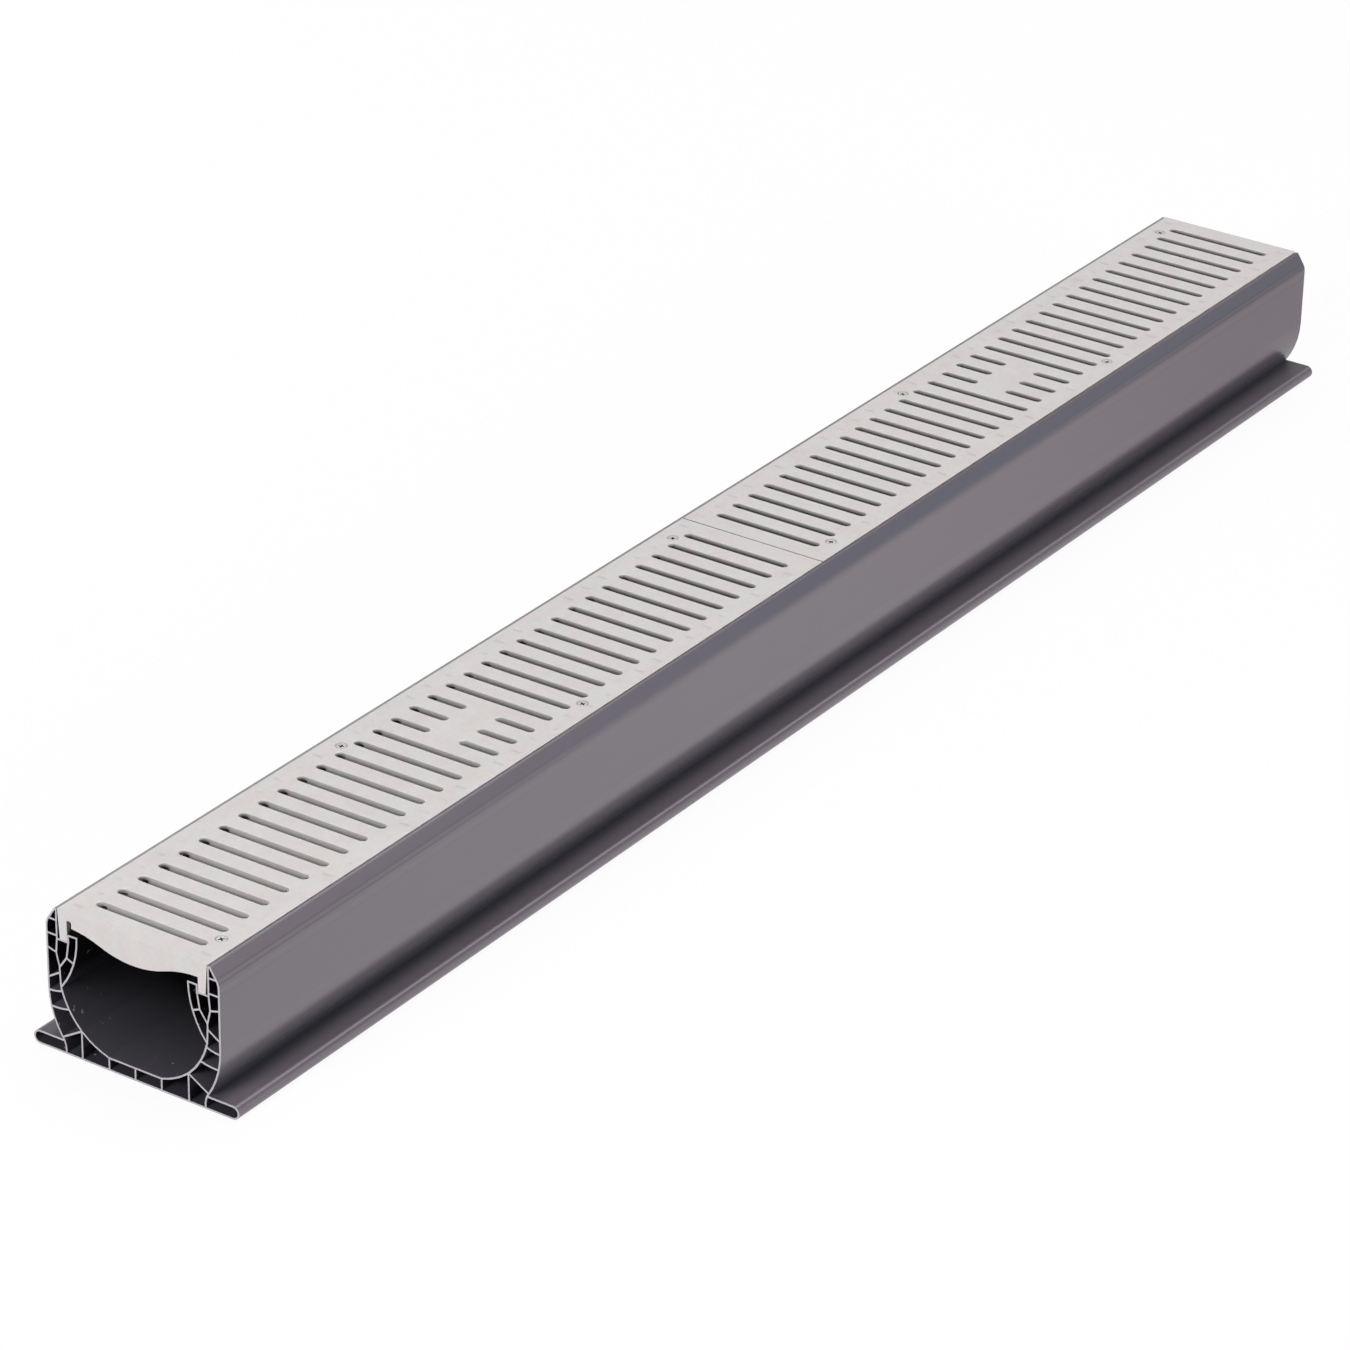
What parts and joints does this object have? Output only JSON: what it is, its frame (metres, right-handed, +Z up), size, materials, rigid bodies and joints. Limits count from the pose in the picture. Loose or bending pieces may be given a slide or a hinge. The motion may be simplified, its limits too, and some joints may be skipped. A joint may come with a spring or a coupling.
{
  "type": "channel drain",
  "caption": "Straight trench drain: a hollow-walled extruded channel with two slotted grates screwed into its pockets.",
  "frame": {"origin": "centre of the channel's underside", "axes": "+X along the drain, +Z up; the end nearest the picture's camera is at -X"},
  "size_m": [1.2192, 0.145, 0.092],
  "materials": {
    "channel": "extruded dark grey, faint lengthwise lines",
    "grate": "moulded light warm grey, fine matt texture",
    "screw": "painted to match the grate"
  },
  "bodies": {
    "root": {"channel": "channel", "near_grate": "grate", "far_grate": "grate", "grate_screw_1": "screw", "grate_screw_2": "screw", "grate_screw_3": "screw", "grate_screw_4": "screw", "grate_screw_5": "screw", "grate_screw_6": "screw", "grate_screw_7": "screw", "grate_screw_8": "screw"}
  },
  "joints": []
}
